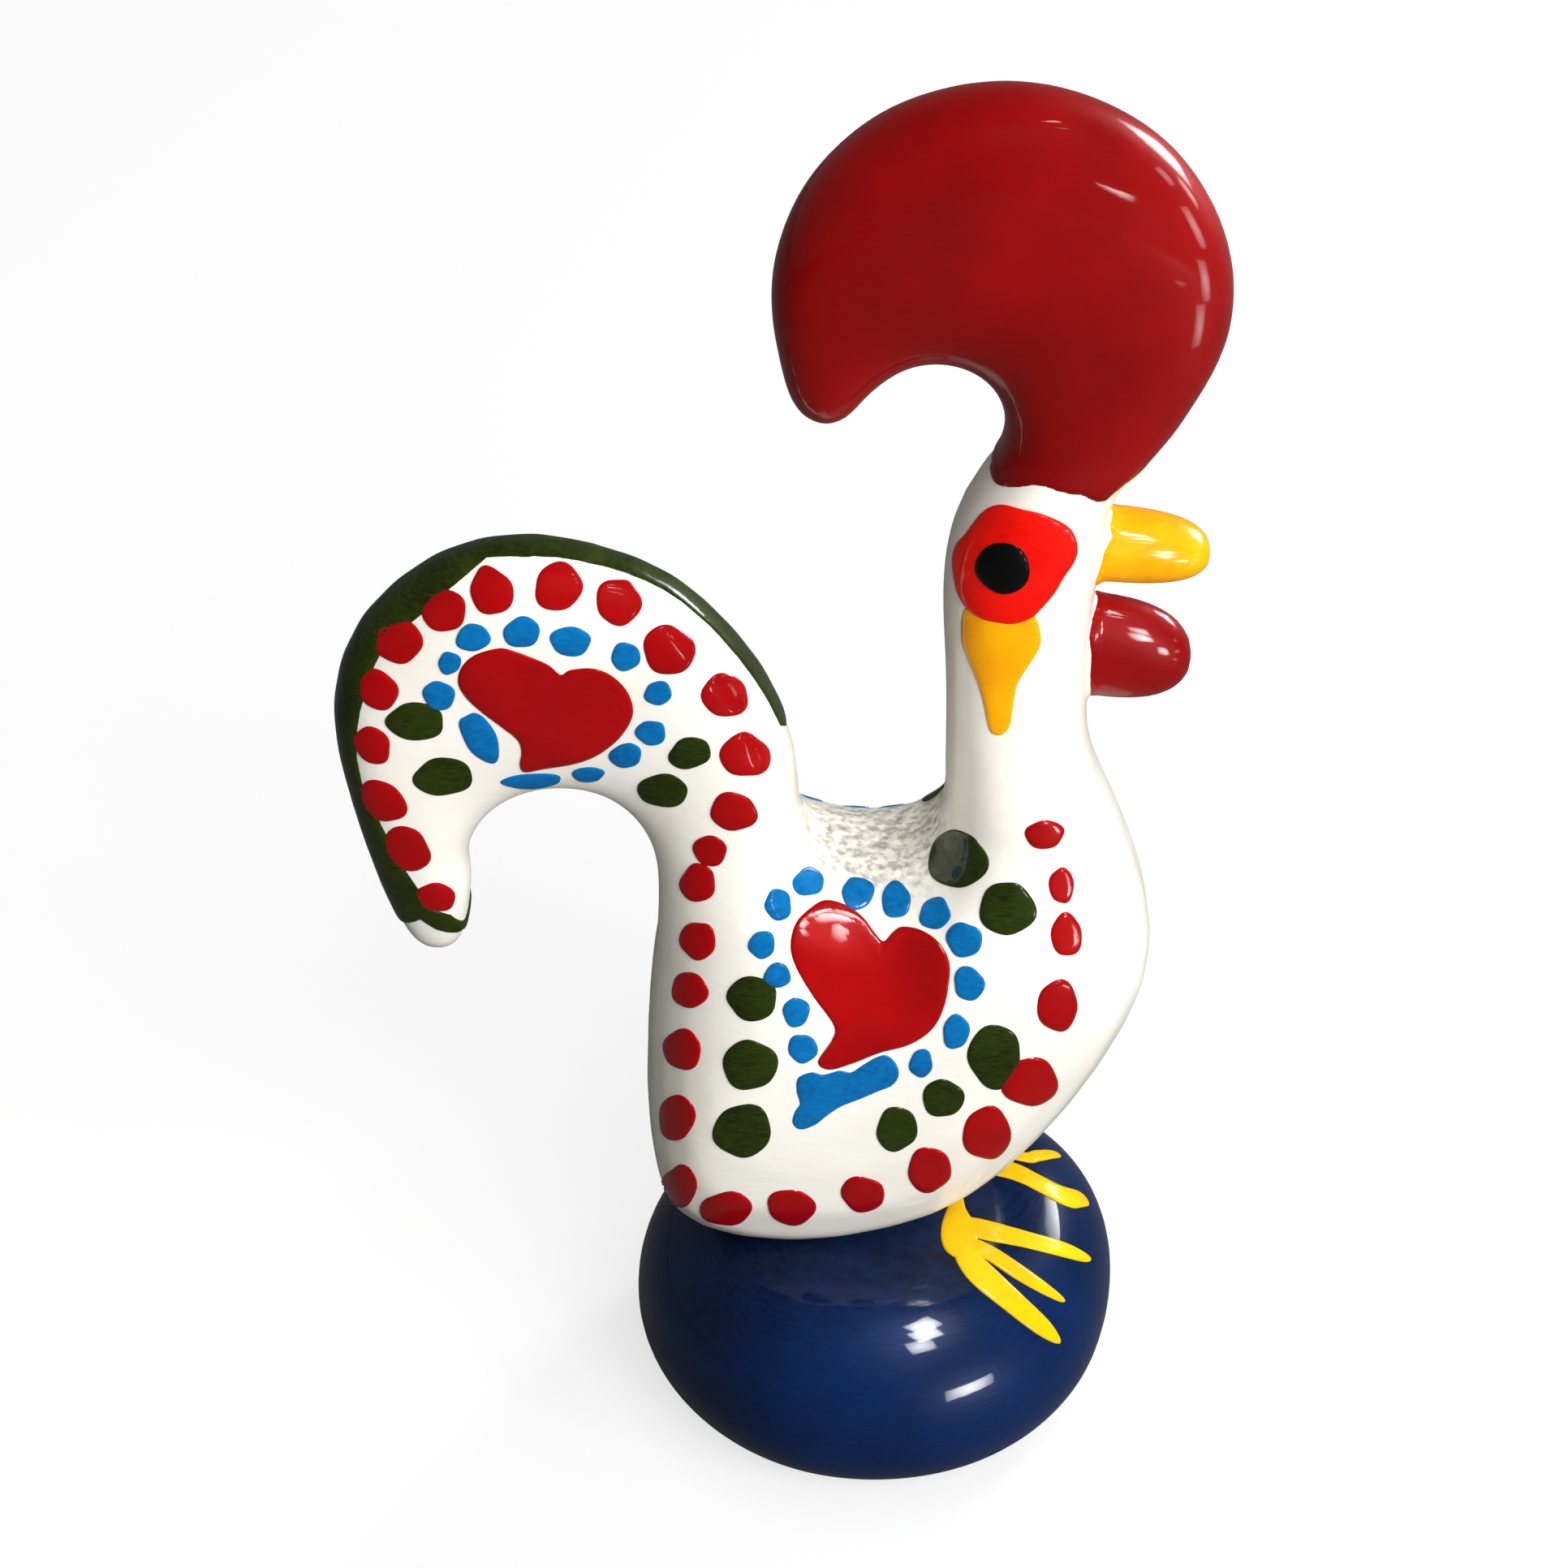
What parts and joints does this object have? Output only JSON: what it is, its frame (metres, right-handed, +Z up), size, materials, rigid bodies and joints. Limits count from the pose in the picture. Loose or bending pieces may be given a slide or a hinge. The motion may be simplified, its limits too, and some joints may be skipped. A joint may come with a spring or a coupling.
{
  "type": "rooster of barcelos",
  "caption": "Painted clay rooster on a round hollow base, with a sickle tail, a large round comb, hearts and rows of dots in raised enamel.",
  "frame": {"origin": "centre of the bounding box on the table that the base stands on", "axes": "+Z up, +X ahead, the way the beak points, -Y the bird's right side"},
  "size_m": [0.0556, 0.0336, 0.1001],
  "materials": {
    "ivory_enamel": "varnished",
    "red_enamel": "varnished",
    "orange_enamel": "varnished",
    "yellow_enamel": "varnished",
    "blue_enamel": "varnished",
    "green_enamel": "varnished",
    "black_enamel": "varnished",
    "navy_enamel": "varnished"
  },
  "bodies": {
    "root": {"base_bell": "navy_enamel", "body_right_shell": "ivory_enamel", "body_left_shell": "ivory_enamel", "neck_and_head": "ivory_enamel", "tail": "ivory_enamel", "comb": "red_enamel", "beak": "yellow_enamel", "wattle": "red_enamel", "tail_edge_band": "green_enamel", "eye_patch_right": "orange_enamel", "eye_patch_left": "orange_enamel", "pupil_right": "black_enamel", "pupil_left": "black_enamel", "ear_lobe_right": "yellow_enamel", "ear_lobe_left": "yellow_enamel", "body_heart_right": "red_enamel", "body_heart_left": "red_enamel", "tail_heart_right": "red_enamel", "tail_heart_left": "red_enamel", "body_blue_dots_right": "blue_enamel", "body_blue_dots_left": "blue_enamel", "tail_blue_dots_right": "blue_enamel", "tail_blue_dots_left": "blue_enamel", "body_red_dots_right": "red_enamel", "body_red_dots_left": "red_enamel", "tail_red_dots_right": "red_enamel", "tail_red_dots_left": "red_enamel", "body_green_dots_right": "green_enamel", "body_green_dots_left": "green_enamel", "tail_green_dots_right": "green_enamel", "tail_green_dots_left": "green_enamel", "painted_foot_right": "yellow_enamel", "painted_foot_left": "yellow_enamel"}
  },
  "joints": []
}
